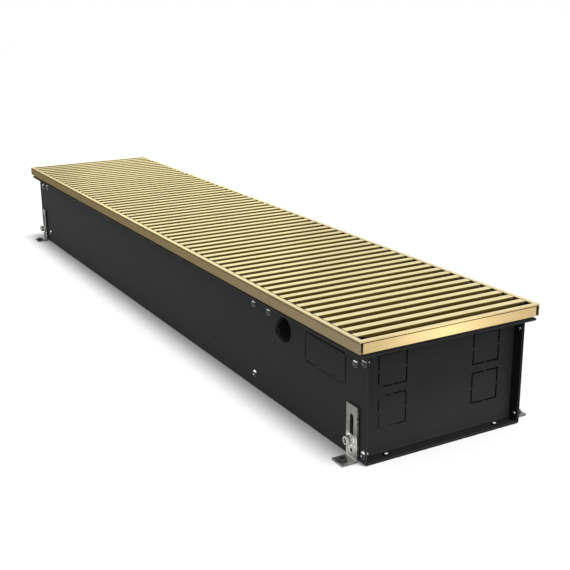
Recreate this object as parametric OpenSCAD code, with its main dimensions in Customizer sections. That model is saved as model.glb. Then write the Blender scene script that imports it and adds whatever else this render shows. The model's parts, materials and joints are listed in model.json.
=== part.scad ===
// Trench convector heater: a floor duct with a roll-up grille, a heat exchanger and a fan.
// Millimetres, +Z up. The length runs along X. The near end, with the pipe connections, is +X.
// The front wall, with the cable grommet, is at -Y. The origin is the middle of the underside.

/* [Casing] */
// Length of the folded casing
casing_l = 1088; // [900:1:1400]
// Width over the two side walls
casing_w = 200; // [190:1:260]
// Height from the underside to the top of the frame
total_h = 135; // [130:1:170]
// Thickness of the casing, end plate and bulkhead sheet
sheet_t = 1.2; // [0.9:0.1:1.5]
// Outside radius of the two long bends at the floor
bend_r = 2.5; // [2:0.1:4]
// How far the end plates are set in from the ends of the side walls
end_recess = 13; // [11:0.5:18]

/* [Knockouts] */
// Width of the cut line round a knockout
slit_w = 1.8; // [0.8:0.1:2.2]
// Width of the bridges that hold an end knockout
bridge_w = 2; // [1:0.1:3]
// Width of the corner bridges that hold the side knockout
side_bridge_w = 0.8; // [0.5:0.1:1.5]
// Side length of the square end knockouts
knock_s = 35.8; // [26:0.1:38]
// Distance from the middle of the end plate to the inner sides of the knockouts
knock_inner_y = 41.9; // [36:0.1:50]
// Gap between the lower and the upper pair of end knockouts
knock_gap = 8.3; // [6:0.1:14]
// Gap between the ledge and the top of the upper pair of end knockouts
knock_drop = 7.1; // [5:0.1:12]
// Length of the knockout in the front wall
side_knock_l = 79; // [60:1:85]
// Height of the knockout in the front wall
side_knock_h = 34.5; // [24:0.5:36]
// Distance from the near end of the casing to the side knockout
side_knock_x = 36.5; // [34:0.5:45]
// Gap between the ledge and the top of the side knockout
side_knock_drop = 8.8; // [5:0.1:14]

/* [Frame] */
// How far the frame stands out past the side walls
frame_over_side = 13; // [12:0.5:18]
// How far the frame stands out past the ends of the casing
frame_over_end = 6; // [5.5:0.5:10]
// Width of the top land of the frame
land_w = 5; // [4.5:0.1:6]
// Thickness of the top land
land_t = 1.6; // [1.2:0.1:2]
// Thickness of the outer leg
leg_t = 1.6; // [1.2:0.1:2]
// Height of the outer leg, with the land
leg_h = 13; // [11:0.5:15]
// Thickness of the inner clip leg
clip_t = 1; // [0.8:0.1:1.2]
// Height of the inner clip leg below the land
clip_h = 8; // [6:0.5:10]
// Open slot between the legs at each corner
corner_slot = 2.6; // [1:0.1:4]
// Side of the small groove under the top land
groove_w = 0.9; // [0.3:0.1:1.2]

/* [Grille] */
// Width of one grille bar
bar_w = 9; // [7:0.1:11]
// Height of one grille bar
bar_h = 15; // [13:0.5:17]
// Wall of the hollow bar
bar_wall = 1.2; // [0.9:0.1:1.6]
// Radius of the two top edges of a bar
bar_edge_r = 0.6; // [0.3:0.1:1]
// Distance from bar to bar
bar_pitch = 17.7; // [15:0.1:20]
// Least gap between the last bar and the frame
bar_last_gap = 6; // [5:0.5:8]
// Clearance at the ends of the bars
bar_end_gap = 1; // [0.6:0.1:1.5]
// Distance from the end of a bar to the spring line
spring_inset = 5; // [4.6:0.1:12]
// Depth of the spring line below the top of the bars
spring_depth = 4.2; // [4.1:0.1:6]
// Outside diameter of the closely wound spring
spring_d = 4; // [3:0.1:4.4]
// Inside diameter of the spring
spring_bore_d = 2.6; // [2:0.1:2.8]
// Outside diameter of the spacer sleeves
spacer_d = 7; // [6.5:0.1:7.4]
// Clearance round the spring in the bars and sleeves
spring_gap = 0.3; // [0.1:0.05:0.4]
// Thickness of the rubber strips under the bar ends
strip_t = 1; // [0.8:0.1:2]
// Width of the rubber strips
strip_w = 7; // [5:0.5:7.5]
// Clearance between the bars and the strips
rest_gap = 0.2; // [0.1:0.05:0.3]

/* [Levelling brackets] */
// Distance from the casing ends to the middle of a bracket
bracket_inset = 20; // [19:0.5:30]
// Width of a bracket
bracket_w = 19.5; // [16:0.5:24]
// Thickness of the bracket strip
bracket_t = 2; // [1.5:0.1:2.5]
// Height of the upright leg
bracket_h = 59.5; // [56:0.5:70]
// Length of the foot, from the inner face of the leg
foot_l = 19; // [18:0.5:24]
// Distance from the inner face of the leg to the floor fixing hole
foot_hole_y = 13; // [12:0.5:14]
// Radius of the floor fixing hole in the bush
fixing_r = 2.75; // [2.2:0.05:3]
// Wall of the neck of the foot bush
bush_wall = 1.2; // [1:0.1:1.4]
// Radius of the collar of the foot bush
bush_collar_r = 5.5; // [5:0.1:5.8]
// Height of the collar of the foot bush
bush_collar_h = 2.5; // [2:0.1:3]
// Travel of a bracket along its slot
bracket_travel = 24; // [15:0.5:26]
// Height of the clamp bolt above the underside
bolt_z = 22.5; // [20:0.5:24]
// Diameter of the clamp bolt
bolt_d = 6; // [5:0.5:6]
// Clearance between moving faces and round the bolt in the slot
slide_gap = 0.3; // [0.2:0.05:0.5]
// Diameter of the head of the clamp bolt
bolt_head_d = 10; // [9:0.5:11]
// Height of the head of the clamp bolt
bolt_head_h = 6; // [4:0.5:7]
// Diameter of the washers
washer_d = 13; // [12:0.5:14]
// Thickness of the washers
washer_t = 1.6; // [1:0.1:2]
// Thickness of the flange of the rivet nut behind the bracket
nut_flange_t = 1.2; // [1:0.1:1.5]
// Height of the small hole low in the leg
leg_hole_z = 10.5; // [9:0.5:12]
// Diameter of the small hole low in the leg
leg_hole_d = 4; // [3:0.1:5]

/* [Rivets and cable entry] */
// Diameter of the rivet heads
rivet_head_d = 9; // [7:0.5:9.5]
// Height of the domed rivet heads
rivet_head_h = 1.8; // [1.2:0.1:2.2]
// Diameter of the rivet shanks
rivet_d = 4.8; // [4:0.1:5]
// Length of the upset tail of a rivet
rivet_tail = 3.5; // [2:0.1:4]
// Clearance round the rivet shanks
rivet_gap = 0.1; // [0.05:0.05:0.2]
// Depth of the top row of rivets below the ledge
rivet_drop = 11.3; // [10:0.1:15]
// Depth of the corner gusset rivets below the ledge
gusset_drop = 14.3; // [13:0.1:18]
// Depth of the upper end plate rivets below the ledge
end_rivet_drop = 8.9; // [8:0.1:12]
// Distance from the casing ends to the end plate rivets in the side walls
end_rivet_inset = 4.6; // [4.5:0.1:6]
// Height of the lowest rivets, in the end plates
rivet_low_z = 10.5; // [8:0.5:12]
// Height of the low bulkhead rivets
bulk_low_z = 18.5; // [17:0.5:24]
// Distance from the near end to the cable grommet
grommet_x = 159.5; // [140:0.5:165]
// Depth of the middle of the cable grommet below the ledge
grommet_drop = 21.8; // [20:0.1:30]
// Diameter of the base of the cable grommet
grommet_d = 27; // [22:0.5:28]
// How far the grommet stands out of the wall
grommet_out = 9; // [6:0.5:11]
// Distance from the near end to the spare fixing holes
spare_hole_x = 343.5; // [330:0.5:360]
// Height of the lower spare fixing hole
spare_low_z = 30; // [24:0.5:36]
// Diameter of the spare fixing holes
spare_hole_d = 3; // [2:0.1:4]

/* [Bulkheads and brace] */
// Distance from the near end to the bulkhead behind the connection space
bulk_near_x = 240; // [236:1:250]
// Distance from the far end to the far bulkhead
bulk_far_x = 56; // [52:1:60]
// Depth of the bulkhead flanges
bulk_flange = 18; // [16:0.5:20]
// Distance from the near end to the cross brace rivets
brace_x = 195.6; // [190:0.5:200]
// Depth of the cross brace channel
brace_d = 15; // [12:0.5:16]
// Height of the cross brace web
brace_h = 18; // [16:0.5:20]
// Gap between the ledge and the top of the cross brace
brace_drop = 2.8; // [2:0.1:5]
// Length and height of the corner gussets
gusset_s = 12; // [11:0.5:16]

/* [Heat exchanger] */
// Gap between the heat exchanger and the back wall
coil_back_gap = 9; // [6:0.5:14]
// Height of the underside of the fins
coil_z = 20; // [14:0.5:24]
// Height of the fins
coil_h = 70; // [64:0.5:74]
// Distance from fin to fin
fin_pitch = 7; // [6:0.5:9]
// Thickness of a fin
fin_t = 0.6; // [0.4:0.1:0.8]
// Gap between the fin block and each bulkhead
fin_end_gap = 12; // [8:0.5:16]
// Outside diameter of the copper tubes
tube_d = 15; // [12:0.5:16]
// Wall of the copper tubes
tube_wall = 0.8; // [0.6:0.1:1.2]
// Thickness of the fin collars round the tubes
collar_t = 0.5; // [0.3:0.1:0.8]
// How far the plain tubes pass through the bulkheads
tube_past = 6; // [4:0.5:8]
// How far the near pair of upper tubes passes the near bulkhead
vent_past = 24; // [22:0.5:30]
// How far the two lower tubes pass the near bulkhead
union_past = 60; // [56:1:80]
// Length of tube held in a brass pipe union
union_grip = 14; // [10:0.5:15]
// Length of the brass pipe unions
union_l = 34; // [30:1:40]
// Outside diameter of the round part of a pipe union
union_d = 27; // [25:0.5:28]
// Radius of the threaded socket of a pipe union
socket_r = 9.5; // [9:0.1:10]
// Depth of the threaded socket of a pipe union
socket_l = 15; // [12:0.5:17]
// Width across the flats of the pipe union
union_flats = 30; // [27:0.5:32]
// Height of the air vent body above its tube
vent_h = 7; // [5:0.5:9]
// Radius of the air vent body
vent_r = 5; // [4:0.1:6]
// Radius of the shank of the air vent screw
vent_screw_r = 2.5; // [2:0.1:3]
// Running clearance of shafts and of the vent screw
run_gap = 0.05; // [0.03:0.01:0.08]
// Height of the head of the air vent screw
vent_head_h = 3; // [2:0.1:4]
// Width of the screwdriver slot in the vent screw
vent_slot_w = 1; // [0.8:0.1:1.2]

/* [Fan] */
// Radius of the cross-flow rotor
fan_r = 28; // [26:0.5:29]
// Height of the rotor axis
fan_z = 52; // [50:0.5:56]
// Gap between the rotor and the scroll
scroll_gap = 6; // [5:0.5:8]
// Gap between the scroll and the front wall
scroll_wall_gap = 10; // [6:0.5:12]
// Thickness of the scroll and tongue sheet
guide_t = 1; // [0.8:0.1:1.2]
// Gap between the rotor and the tongue
tongue_gap = 3; // [2:0.5:4]
// Gap between the scroll and the heat exchanger
coil_front_gap = 24; // [20:0.5:30]
// Number of blades
blade_count = 24; // [16:1:30]
// Thickness of a blade
blade_t = 0.8; // [0.6:0.1:1]
// Radial depth of the blades
blade_depth = 8; // [6:0.5:9]
// Radius of the curve of a blade
blade_curve_r = 9; // [8:0.5:12]
// Number of support discs, with the two ends
disc_count = 7; // [5:1:9]
// Thickness of a support disc
disc_t = 1.5; // [1:0.1:2]
// How far the discs stand out past the blades
disc_over = 0.6; // [0.3:0.1:1]
// Gap between the rotor and each bulkhead
fan_end_gap = 14; // [10:0.5:18]
// Radius of the fan shaft
shaft_r = 4; // [3:0.1:5]
// Length of the hub at each end of the rotor
hub_l = 8; // [6:0.5:9]
// Radius of the hubs
hub_r = 8; // [6:0.5:10]
// Radius of the fan motor
motor_r = 29; // [26:0.5:30]
// Length of the fan motor
motor_l = 42; // [36:1:50]
// Thickness of the motor flange
motor_flange_t = 3; // [2:0.1:4]
// How far the motor flange stands out past the motor
motor_flange_over = 10; // [9:0.5:11]
// Radius of the bearing housing
bearing_r = 10; // [9:0.5:12]
// Thickness of the flange of the bearing housing
bearing_flange_t = 2; // [1.5:0.1:3]
// How far the bearing housing stands out behind the far bulkhead
bearing_l = 9; // [8:0.5:12]
// Diameter of the small machine screws
screw_d = 4; // [3:0.1:4.5]
// Height of the heads of the small machine screws
screw_head_h = 2.4; // [2:0.1:3]

/* [Terminal box] */
// Distance from the near end plate to the terminal box
box_x = 30; // [20:1:40]
// Length of the terminal box
box_l = 100; // [80:1:110]
// Width of the terminal box
box_w = 60; // [50:1:66]
// Height of the terminal box without its lid
box_h = 38; // [30:1:42]
// Gap between the terminal box and the front wall
box_wall_gap = 9; // [6:0.5:12]
// Thickness of the lid of the terminal box
lid_t = 4; // [3:0.5:6]
// How far the lid stands out past the box
lid_over = 1.5; // [1:0.1:2]
// Wall of the terminal box
box_wall = 2.5; // [2:0.1:3]
// Inset of the four lid screws
lid_screw_inset = 6.5; // [6:0.5:7]
// Radius of the rounded upright edges of the box
box_edge_r = 4; // [3:0.5:6]
// Radius of the cable glands on the box
gland_r = 8; // [6:0.5:9]
// Length of the cable glands on the box
gland_l = 12; // [8:0.5:14]

/* [Hidden] */
$fn = 64;

// One overrun for every cut
over = 1;

// Levels and half sizes
half_l = casing_l / 2;
half_w = casing_w / 2;
inner_half_w = half_w - sheet_t;
frame_half_l = half_l + frame_over_end;
frame_half_w = half_w + frame_over_side;
lip_in_x = frame_half_l - land_w;
lip_in_y = frame_half_w - land_w;
lip_out_x = lip_in_x + sheet_t;
lip_out_y = lip_in_y + sheet_t;
lip_top = total_h - land_t;
bar_z = total_h - bar_h;
strip_top = bar_z - rest_gap;
ledge_top = strip_top - strip_t;
ledge_low = ledge_top - 2 * sheet_t;
ledge_out_x = frame_half_l - leg_t;
ledge_out_y = frame_half_w - leg_t;
knock_high_z = ledge_low - knock_drop - knock_s;
knock_low_z = knock_high_z - knock_gap - knock_s;
side_knock_z = ledge_low - side_knock_drop - side_knock_h;
grommet_z = ledge_low - grommet_drop;

// End plates
plate_out = half_l - end_recess;
plate_in = plate_out - sheet_t;
bend_in = bend_r - sheet_t;
flange_set_back = 0.5;
flange_d = end_recess - flange_set_back;
flange_x = plate_out + flange_d;
flange_rivet_x = plate_out + flange_d / 2;
flange_rivet_inset = 28;
flange_rivet_y = inner_half_w - flange_rivet_inset;
plate_bend_r = 2;

// Rivet places
top_rivet_z = ledge_low - rivet_drop;
gusset_rivet_z = ledge_low - gusset_drop;
end_rivet_z = ledge_low - end_rivet_drop;
end_rivet_x = half_l - end_rivet_inset;
gusset_rivet_x = plate_in - gusset_s / 2;
bulk_near = half_l - bulk_near_x;
bulk_far = -half_l + bulk_far_x;
bulk_near_rivet_x = bulk_near + bulk_flange / 2;
bulk_far_rivet_x = bulk_far - bulk_flange / 2;
brace_rivet_x = half_l - brace_x;
wall_rivet_spots = [
  [end_rivet_x, end_rivet_z],
  [end_rivet_x, rivet_low_z],
  [gusset_rivet_x, gusset_rivet_z],
  [brace_rivet_x, top_rivet_z],
  [bulk_near_rivet_x, top_rivet_z],
  [bulk_near_rivet_x, bulk_low_z],
  [bulk_far_rivet_x, top_rivet_z],
  [bulk_far_rivet_x, bulk_low_z],
  [-gusset_rivet_x, gusset_rivet_z],
  [-end_rivet_x, rivet_low_z]
];

// Levelling brackets
bracket_x = half_l - bracket_inset;
leg_in_y = half_w + nut_flange_t + slide_gap;
leg_out_y = leg_in_y + bracket_t;
foot_out_y = leg_in_y + foot_l;
fixing_y = leg_in_y + foot_hole_y;
washer_in_y = leg_out_y + slide_gap;
head_in_y = washer_in_y + washer_t;
bolt_r = bolt_d / 2;
slot_r = bolt_r + slide_gap;
nut_body_r = bolt_r + 1.5 * sheet_t;
nut_body_l = 9;
nut_gap = 0.1;
bush_neck_r = fixing_r + bush_wall;
bush_gap = 0.1;
socket_flats = 5;
socket_depth = 3;

// Small parts whose sizes follow nothing else
grommet_groove = 2;
grommet_gap = 0.1;
grommet_steps = 4;
grommet_base = 2.5;
grommet_skin_r = 4.5;
rivet_tail_r = rivet_d / 2 + 1;
rivet_pin_r = 1.3;
rivet_pin_depth = 1.2;
bush_chamfer = 0.8;
screw_gap = 0.1;
motor_spigot_r = 12;
bulk_top = ledge_low - brace_drop;
gland_shares = [1 / 3, 2 / 3];

// Grille
grille_half_l = lip_in_x;
bar_room = 2 * grille_half_l - bar_w - 2 * bar_last_gap;
bar_count = floor(bar_room / bar_pitch) + 1;
bar_first_x = -(bar_count - 1) * bar_pitch / 2;
bar_half_len = lip_in_y - bar_end_gap;
spring_y = bar_half_len - spring_inset;
spring_z = total_h - spring_depth;
spring_hole_r = spring_d / 2 + spring_gap;
spring_end_x = bar_first_x - bar_w / 2;
spring_screw_l = 8;
spring_screw_gap = 0.1;

// Fan
scroll_r = fan_r + disc_over + scroll_gap;
fan_y = -inner_half_w + scroll_wall_gap + scroll_r + guide_t;
guide_x0 = bulk_far + sheet_t;
rotor_x0 = guide_x0 + fan_end_gap;
rotor_x1 = bulk_near - fan_end_gap;
rotor_l = rotor_x1 - rotor_x0;
tongue_r = fan_r + disc_over + tongue_gap;
scroll_start = 125;
tongue_low = 0;
tongue_high = 40;
scroll_foot = 12;
blade_tilt = 30;
motor_x = bulk_near + sheet_t;
motor_screw_r = motor_r + motor_flange_over / 2;
bearing_screw_r = 1.5 * bearing_r;
bearing_flange_r = 2 * bearing_r;

// Heat exchanger
coil_y0 = fan_y + scroll_r + coil_front_gap;
coil_y1 = inner_half_w - coil_back_gap;
coil_w = coil_y1 - coil_y0;
tube_y = [coil_y0 + coil_w / 4, coil_y0 + 3 * coil_w / 4];
tube_z = [coil_z + coil_h / 4, coil_z + 3 * coil_h / 4];
tube_r = tube_d / 2;
tube_gap = 0.15;
solder_gap = 0.05;
fin_x0 = guide_x0 + fin_end_gap;
fin_x1 = bulk_near - fin_end_gap;
fin_count = floor((fin_x1 - fin_x0 - fin_t) / fin_pitch) + 1;
tube_far_x = bulk_far - tube_past;
vent_end_x = motor_x + vent_past;
union_x = motor_x + union_past;
union_hex_l = 20;
union_x0 = union_x - union_grip;
union_x1 = union_x0 + union_l;
vent_x = motor_x + vent_past / 2;
vent_z = tube_z[1] + tube_r + vent_h;

// Terminal box
box_x1 = plate_in - box_x;
box_x0 = box_x1 - box_l;
box_y0 = -inner_half_w + box_wall_gap;
box_y1 = box_y0 + box_w;
box_z1 = sheet_t + box_h;

// Colours
black_paint = [0.16, 0.16, 0.16];
gold_anodised = [0.80, 0.70, 0.45];
steel = [0.70, 0.70, 0.70];
rubber = [0.08, 0.08, 0.08];

// A solid block between two corners
module block(low, high) {
  translate(low) cube(high - low);
}

// A profile drawn in Y and Z, run along X
module run_x(x0, x1) {
  translate([x0, 0, 0]) rotate([90, 0, 90]) linear_extrude(x1 - x0) children();
}

// A profile drawn in X and Z, run along Y
module run_y(y0, y1) {
  translate([0, y1, 0]) rotate([90, 0, 0]) linear_extrude(y1 - y0) children();
}

// A rectangle between two corners
module plate(low, high) {
  translate(low) square(high - low);
}

module both_x() {
  children();
  mirror([1, 0, 0]) children();
}

module both_y() {
  children();
  mirror([0, 1, 0]) children();
}

// A round bar along X
module rod_x(x0, x1, r) {
  translate([x0, 0, 0]) rotate([0, 90, 0]) cylinder(h = x1 - x0, r = r);
}

// A round bar along Y
module rod_y(y0, y1, r) {
  translate([0, y1, 0]) rotate([90, 0, 0]) cylinder(h = y1 - y0, r = r);
}

// Part of a ring between two angles, in the plane
module ring_sector(r_in, r_out, from, to) {
  reach = 2 * r_out;
  middle = (from + to) / 2;
  intersection() {
    difference() {
      circle(r = r_out);
      circle(r = r_in);
    }
    polygon([
      [0, 0],
      [reach * cos(from), reach * sin(from)],
      [reach * cos(middle), reach * sin(middle)],
      [reach * cos(to), reach * sin(to)]
    ]);
  }
}

// One half of the folded casing: floor, bend, wall, double ledge and lip
module trough_half_profile() {
  plate([0, 0], [half_w - bend_r, sheet_t]);
  translate([half_w - bend_r, bend_r]) ring_sector(bend_in, bend_r, -90, 0);
  plate([inner_half_w, bend_r], [half_w, ledge_top]);
  plate([inner_half_w, ledge_low], [ledge_out_y, ledge_top]);
  plate([lip_in_y, ledge_low], [lip_out_y, lip_top]);
}

// The cut line of a knockout in the plane, with a bridge across the middle of each side
module slit_square(low, side) {
  middle = low + [side / 2, side / 2];
  half_bridge = bridge_w / 2;
  difference() {
    plate(low, low + [side, side]);
    plate(low + [slit_w, slit_w], low + [side - slit_w, side - slit_w]);
    plate([middle[0] - half_bridge, low[1] - over], [middle[0] + half_bridge, low[1] + side + over]);
    plate([low[0] - over, middle[1] - half_bridge], [low[0] + side + over, middle[1] + half_bridge]);
  }
}

// The cut line of the side knockout, held at its corners
module slit_long(low, high) {
  corner = slit_w + side_bridge_w;
  difference() {
    plate(low, high);
    plate(low + [slit_w, slit_w], high - [slit_w, slit_w]);
    for (x = [low[0] - over, high[0] - corner], z = [low[1] - over, high[1] - corner])
      plate([x, z], [x + corner + over, z + corner + over]);
  }
}

module rivet_holes() {
  for (spot = wall_rivet_spots)
    translate([spot[0], 0, spot[1]])
      rod_y(-half_w - over, half_w + over, rivet_d / 2 + rivet_gap);
}

module bottom_rivet_holes() {
  for (x = [-flange_rivet_x, flange_rivet_x], y = [-flange_rivet_y, flange_rivet_y])
    translate([x, y, -over]) cylinder(h = 2 * sheet_t + 2 * over, r = rivet_d / 2 + rivet_gap);
}

module casing_trough() {
  color(black_paint)
  difference() {
    run_x(-half_l, half_l) {
      trough_half_profile();
      mirror([1, 0]) trough_half_profile();
    }
    rivet_holes();
    bottom_rivet_holes();
    for (x = [-bracket_x, bracket_x])
      translate([x, 0, bolt_z]) rod_y(-half_w - over, half_w + over, nut_body_r + nut_gap);
    for (z = [spare_low_z, top_rivet_z])
      translate([half_l - spare_hole_x, 0, z])
        rod_y(-half_w - over, half_w + over, spare_hole_d / 2);
    translate([half_l - grommet_x, 0, grommet_z])
      rod_y(-half_w - over, -inner_half_w + over, grommet_d / 2 - grommet_groove + grommet_gap);
    run_y(-half_w - over, -inner_half_w + over)
      slit_long(
        [half_l - side_knock_x - side_knock_l, side_knock_z],
        [half_l - side_knock_x, side_knock_z + side_knock_h]
      );
  }
}

// The end plate as it stands at the near end, with or without the upper flange rivets
module end_plate(upper_rivets) {
  corner = inner_half_w - bend_in;
  side_foot = sheet_t + bend_in;
  difference() {
    union() {
      run_x(plate_in, plate_out)
        polygon([
          [-corner, sheet_t], [corner, sheet_t], [inner_half_w, side_foot],
          [inner_half_w, ledge_low], [-inner_half_w, ledge_low], [-inner_half_w, side_foot]
        ]);
      block([plate_in, -corner, sheet_t], [flange_x, corner, 2 * sheet_t]);
      both_y() block([plate_in, inner_half_w - sheet_t, side_foot], [flange_x, inner_half_w, ledge_low]);
      block([plate_in, -inner_half_w, ledge_low], [half_l, inner_half_w, ledge_top]);
      block([half_l, -ledge_out_y, ledge_low], [ledge_out_x, ledge_out_y, ledge_top]);
      block([lip_in_x, -lip_in_y, ledge_low], [lip_out_x, lip_in_y, lip_top]);
      run_y(-corner, corner) difference() {
        plate([plate_out, 2 * sheet_t], [plate_out + plate_bend_r, 2 * sheet_t + plate_bend_r]);
        translate([plate_out + plate_bend_r, 2 * sheet_t + plate_bend_r]) circle(r = plate_bend_r);
      }
    }
    bottom_rivet_holes();
    for (z = upper_rivets ? [rivet_low_z, end_rivet_z] : [rivet_low_z])
      translate([end_rivet_x, 0, z])
        rod_y(-half_w - over, half_w + over, rivet_d / 2 + rivet_gap);
    run_x(plate_in - over, plate_out + over)
      for (z = [knock_low_z, knock_high_z]) {
        slit_square([knock_inner_y, z], knock_s);
        slit_square([-knock_inner_y - knock_s, z], knock_s);
      }
  }
}

module end_plate_near() {
  color(black_paint) end_plate(true);
}

module end_plate_far() {
  color(black_paint) mirror([1, 0, 0]) end_plate(false);
}

// Small angles that join the end plates to the side walls inside
module corner_gussets() {
  low_z = gusset_rivet_z - gusset_s / 2;
  high_z = gusset_rivet_z + gusset_s / 2;
  inside = plate_in - gusset_s;
  color(black_paint)
  both_x() both_y() difference() {
    union() {
      block([inside, inner_half_w - sheet_t, low_z], [plate_in, inner_half_w, high_z]);
      block([plate_in - sheet_t, inner_half_w - gusset_s, low_z], [plate_in, inner_half_w, high_z]);
    }
    translate([gusset_rivet_x, 0, gusset_rivet_z]) rod_y(0, half_w, rivet_d / 2 + rivet_gap);
  }
}

// The frame profile, drawn with the outer edge of the frame at zero and the inside at minus
module frame_profile() {
  difference() {
    union() {
      plate([-land_w, total_h - land_t], [0, total_h]);
      plate([-leg_t, total_h - leg_h], [0, total_h]);
      plate([-leg_t - groove_w, total_h - leg_h], [0, total_h - leg_h + leg_t]);
      plate([-land_w + sheet_t, lip_top - clip_h], [-land_w + sheet_t + clip_t, lip_top]);
    }
    plate([-groove_w, lip_top - groove_w], [over, lip_top]);
  }
}

// A long rail of the frame at +Y, mitred on its land, with the outer leg running to the corners
module frame_long() {
  inner = frame_half_w - leg_t - groove_w;
  intersection() {
    run_x(-frame_half_l, frame_half_l) translate([frame_half_w, 0]) frame_profile();
    union() {
      block([-frame_half_l, inner, 0], [frame_half_l, frame_half_w, total_h - land_t]);
      block([-half_l, 0, 0], [half_l, frame_half_w, total_h - land_t]);
      translate([0, 0, total_h - land_t]) linear_extrude(land_t)
        polygon([
          [-frame_half_l, frame_half_w], [frame_half_l, frame_half_w],
          [lip_in_x, lip_in_y], [-lip_in_x, lip_in_y]
        ]);
    }
  }
}

// A short rail of the frame at +X, whose legs stop short of the corners
module frame_short() {
  leg_end = frame_half_w - leg_t - corner_slot;
  intersection() {
    run_y(-frame_half_w, frame_half_w) translate([frame_half_l, 0]) frame_profile();
    union() {
      block([lip_in_x, -lip_in_y, 0], [frame_half_l, lip_in_y, total_h - land_t]);
      block([frame_half_l - leg_t, -leg_end, 0], [frame_half_l, leg_end, total_h - land_t]);
      translate([0, 0, total_h - land_t]) linear_extrude(land_t)
        polygon([
          [frame_half_l, -frame_half_w], [frame_half_l, frame_half_w],
          [lip_in_x, lip_in_y], [lip_in_x, -lip_in_y]
        ]);
    }
  }
}

module frame_front() {
  color(gold_anodised) mirror([0, 1, 0]) frame_long();
}

module frame_back() {
  color(gold_anodised) frame_long();
}

module frame_near() {
  color(gold_anodised) frame_short();
}

module frame_far() {
  color(gold_anodised) mirror([1, 0, 0]) frame_short();
}

module rest_strips() {
  color(rubber)
  both_y() block([-half_l, lip_in_y - strip_w, ledge_top], [half_l, lip_in_y, strip_top]);
}

// Stepped rubber grommet in the front wall, closed until a cable is pushed through
module cable_grommet() {
  base_r = grommet_d / 2;
  color(rubber)
  translate([half_l - grommet_x, -half_w, grommet_z]) rotate([90, 0, 0]) rotate_extrude()
    difference() {
      union() {
        for (i = [0 : grommet_steps])
          plate([0, 0], [
            base_r - i * grommet_groove,
            grommet_base + i * (grommet_out - grommet_base) / grommet_steps
          ]);
        plate([0, -sheet_t], [base_r - grommet_groove, 0]);
        plate([0, -sheet_t - grommet_base], [base_r - grommet_groove / 2, -sheet_t]);
      }
      plate([0, -sheet_t - grommet_base - over], [grommet_skin_r, grommet_out - grommet_base / 2]);
    }
}

// A blind rivet whose head sits at zero and points up, through the given thickness
module rivet(grip) {
  head_r = rivet_head_d / 2;
  dome_r = (head_r * head_r + rivet_head_h * rivet_head_h) / (2 * rivet_head_h);
  rotate_extrude() difference() {
    union() {
      intersection() {
        translate([0, rivet_head_h - dome_r]) circle(r = dome_r);
        plate([0, 0], [head_r, rivet_head_h]);
      }
      plate([0, -grip - rivet_tail], [rivet_d / 2, 0]);
      plate([0, -grip - rivet_tail], [rivet_tail_r, -grip]);
    }
    plate([0, rivet_head_h - rivet_pin_depth], [rivet_pin_r, rivet_head_h + over]);
  }
}

module wall_rivets() {
  color(steel)
  both_y() for (spot = wall_rivet_spots)
    translate([spot[0], half_w, spot[1]]) rotate([-90, 0, 0]) rivet(2 * sheet_t);
}

// Rivets through the floor and the lower flanges of the end plates, flush underneath
module flange_rivets() {
  color(steel)
  for (x = [-flange_rivet_x, flange_rivet_x], y = [-flange_rivet_y, flange_rivet_y])
    translate([x, y, 0]) rotate_extrude() union() {
      plate([0, 0], [rivet_d / 2, 2 * sheet_t]);
      plate([0, 2 * sheet_t], [rivet_tail_r, 2 * sheet_t + rivet_tail]);
    }
}

// A wall across the duct with its plate at zero and its flanges towards +X
module bulkhead_sheet() {
  corner = inner_half_w - bend_in;
  side_foot = sheet_t + bend_in;
  run_x(0, sheet_t)
    polygon([
      [-corner, sheet_t], [corner, sheet_t], [inner_half_w, side_foot],
      [inner_half_w, bulk_top], [-inner_half_w, bulk_top], [-inner_half_w, side_foot]
    ]);
  block([0, -corner, sheet_t], [bulk_flange, corner, 2 * sheet_t]);
  both_y() block([0, inner_half_w - sheet_t, side_foot], [bulk_flange, inner_half_w, bulk_top]);
}

module tube_holes(x0, x1) {
  for (y = tube_y, z = tube_z)
    translate([0, y, z]) rod_x(x0 - over, x1 + over, tube_r + tube_gap);
}

// Three holes or screws on a circle round the fan axis
module fan_circle(r) {
  for (i = [0 : 2])
    translate([0, fan_y, fan_z]) rotate([i * 360 / 3, 0, 0]) translate([0, r, 0]) children();
}

module bulkhead_near() {
  color("darkgray")
  difference() {
    translate([bulk_near, 0, 0]) bulkhead_sheet();
    rivet_holes();
    tube_holes(bulk_near, motor_x);
    translate([0, fan_y, fan_z]) rod_x(bulk_near - over, motor_x + over, motor_spigot_r + nut_gap);
    fan_circle(motor_screw_r) rod_x(bulk_near - over, motor_x + over, screw_d / 2 + screw_gap);
  }
}

module bulkhead_far() {
  color("darkgray")
  difference() {
    translate([guide_x0, 0, 0]) mirror([1, 0, 0]) bulkhead_sheet();
    rivet_holes();
    tube_holes(bulk_far, guide_x0);
    translate([0, fan_y, fan_z]) rod_x(bulk_far - over, guide_x0 + over, bearing_r + nut_gap);
    fan_circle(bearing_screw_r) rod_x(bulk_far - over, guide_x0 + over, screw_d / 2 + screw_gap);
  }
}

// Channel from wall to wall over the connection space
module cross_brace() {
  x0 = brace_rivet_x - brace_d / 2;
  z0 = bulk_top - brace_h;
  color(black_paint)
  difference() {
    union() {
      block([x0, -inner_half_w, z0], [x0 + sheet_t, inner_half_w, bulk_top]);
      block([x0, -inner_half_w, bulk_top - sheet_t], [x0 + brace_d, inner_half_w, bulk_top]);
      both_y() block([x0, inner_half_w - sheet_t, z0], [x0 + brace_d, inner_half_w, bulk_top]);
    }
    rivet_holes();
  }
}

module tube_circles(r) {
  for (y = tube_y, z = tube_z)
    translate([y, z]) circle(r = r);
}

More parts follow.
